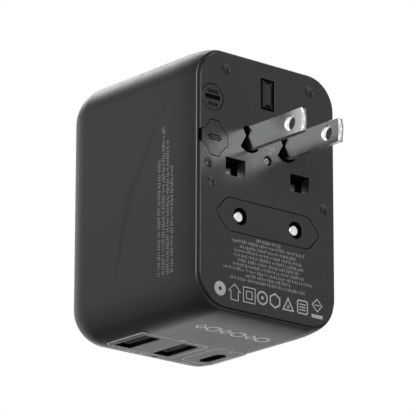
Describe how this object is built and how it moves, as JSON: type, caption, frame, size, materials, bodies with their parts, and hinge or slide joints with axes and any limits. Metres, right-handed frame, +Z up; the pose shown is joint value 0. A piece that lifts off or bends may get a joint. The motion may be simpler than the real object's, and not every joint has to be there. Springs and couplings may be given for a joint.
{
  "type": "universal travel adapter",
  "caption": "Block-shaped travel adapter with sliding and turning plug pins on one face, a universal socket on the opposite face and USB ports underneath.",
  "frame": {"origin": "centre of the bottom (USB) face, on the face's plane", "axes": "+Z up away from the USB face, the plug face with the pins looks along -Y, the universal socket looks along +Y, the three sliders are on the +X side"},
  "size_m": [0.0501, 0.0773, 0.0717],
  "materials": {
    "shell_plastic": "fine matt moulded",
    "face_plastic": "satin moulded",
    "black_plastic": "moulded black",
    "nickel_plate": "satin nickel plate",
    "brass_contact": "bare stamped brass",
    "spring_steel": "plain bright",
    "board_green": "solder mask",
    "fuse_ceramic": "glazed",
    "transformer_tape": "tape",
    "light_pipe": "clear moulded"
  },
  "bodies": {
    "housing": {"main_shell": "shell_plastic", "plug_face_plate": "face_plastic", "socket_face": "face_plastic", "mid_frame": "black_plastic", "centre_screw": "spring_steel", "fuse_clip_front": "brass_contact", "fuse_clip_rear": "brass_contact", "spare_fuse_tube": "black_plastic", "shutter_spring": "spring_steel", "socket_contact_line": "brass_contact", "socket_contact_neutral": "brass_contact", "busbar_line": "brass_contact", "busbar_neutral": "brass_contact", "usb_board": "board_green", "board_screw_left": "spring_steel", "board_screw_right": "spring_steel", "usb_a_left_shell": "spring_steel", "usb_a_left_tongue": "black_plastic", "usb_a_right_shell": "spring_steel", "usb_a_right_tongue": "black_plastic", "usb_c_shell": "spring_steel", "usb_c_tongue": "black_plastic", "led_light_pipe": "light_pipe", "transformer": "transformer_tape", "input_capacitor": "spring_steel", "output_capacitor": "spring_steel"},
    "us_slider": {"us_carriage": "black_plastic", "us_knob": "face_plastic"},
    "us_blade_left_body": {"us_blade_left": "nickel_plate", "us_rotor_left": "black_plastic"},
    "us_blade_right_body": {"us_blade_right": "nickel_plate", "us_rotor_right": "black_plastic"},
    "uk_slider": {"uk_carriage": "black_plastic", "uk_pin_earth": "black_plastic", "uk_pin_line": "nickel_plate", "uk_pin_neutral": "nickel_plate", "uk_knob": "face_plastic"},
    "eu_block_body": {"eu_block": "face_plastic"},
    "eu_pins": {"eu_carriage": "black_plastic", "eu_pin_line": "nickel_plate", "eu_pin_neutral": "nickel_plate", "eu_knob": "face_plastic"},
    "fuse_drawer": {"fuse_cap": "face_plastic", "main_fuse": "fuse_ceramic"},
    "spare_holder": {"spare_fuse": "fuse_ceramic"},
    "spare_cap": {"spare_fuse_cap": "face_plastic"},
    "shutter_body": {"shutter": "black_plastic"}
  },
  "joints": [
    {"name": "us_slide", "type": "slide", "parent": "housing", "child": "us_slider", "axis": [0, 1, 0], "range_m": [0, 0.0221]},
    {"name": "us_blade_left_turn", "type": "hinge", "parent": "us_slider", "child": "us_blade_left_body", "pos_m": [-0.00635, -0.0226, 0.04887], "axis": [0, 1, 0], "range_deg": [-30, 30]},
    {"name": "us_blade_right_turn", "type": "hinge", "parent": "us_slider", "child": "us_blade_right_body", "pos_m": [0.00635, -0.0226, 0.04887], "axis": [0, 1, 0], "range_deg": [-30, 30]},
    {"name": "uk_slide", "type": "slide", "parent": "housing", "child": "uk_slider", "axis": [0, -1, 0], "range_m": [0, 0.0224]},
    {"name": "eu_block_slide", "type": "slide", "parent": "housing", "child": "eu_block_body", "axis": [0, -1, 0], "range_m": [0, 0.01]},
    {"name": "eu_pins_slide", "type": "slide", "parent": "eu_block_body", "child": "eu_pins", "axis": [0, -1, 0], "range_m": [0, 0.0196]},
    {"name": "fuse_drawer_slide", "type": "slide", "parent": "housing", "child": "fuse_drawer", "axis": [0, -1, 0], "range_m": [0, 0.032]},
    {"name": "spare_fuse_lift", "type": "slide", "parent": "housing", "child": "spare_holder", "axis": [0, -1, 0], "range_m": [0, 0.032]},
    {"name": "spare_cap_turn", "type": "hinge", "parent": "spare_holder", "child": "spare_cap", "pos_m": [-0.0189, -0.0277, 0.05695], "axis": [0, -1, 0], "range_deg": [0, 90]},
    {"name": "shutter_slide", "type": "slide", "parent": "housing", "child": "shutter_body", "axis": [0, 0, -1], "range_m": [0, 0.0082], "stiffness_N_per_m": 60, "deforming": ["shutter_spring"]}
  ]
}
